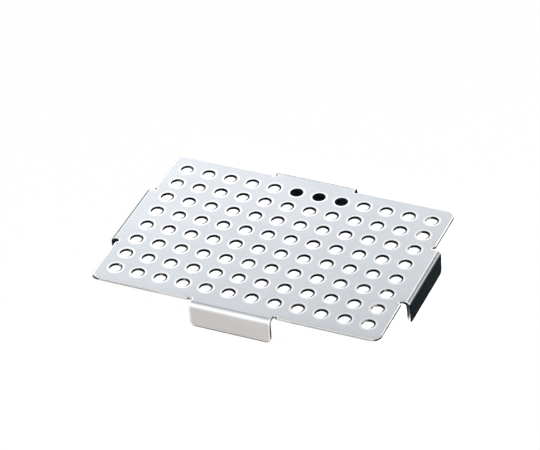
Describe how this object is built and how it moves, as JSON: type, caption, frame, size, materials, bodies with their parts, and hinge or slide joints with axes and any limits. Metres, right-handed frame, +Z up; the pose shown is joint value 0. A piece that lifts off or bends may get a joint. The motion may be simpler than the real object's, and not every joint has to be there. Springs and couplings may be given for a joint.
{
  "type": "perforated instrument tray",
  "caption": "Flat rectangular tray of stainless sheet with a grid of round drain holes, raised on feet bent down from the middle of its sides.",
  "frame": {"origin": "middle of the footprint, on the surface the tray stands on", "axes": "+X along the deck's longer side, to the right seen from the front; +Y towards the back; +Z up, square to the deck"},
  "size_m": [0.21, 0.149, 0.018],
  "materials": {
    "satin_steel": "satin"
  },
  "bodies": {
    "root": {"deck": "satin_steel", "front_foot": "satin_steel", "right_foot": "satin_steel", "back_foot": "satin_steel", "left_foot": "satin_steel"}
  },
  "joints": []
}
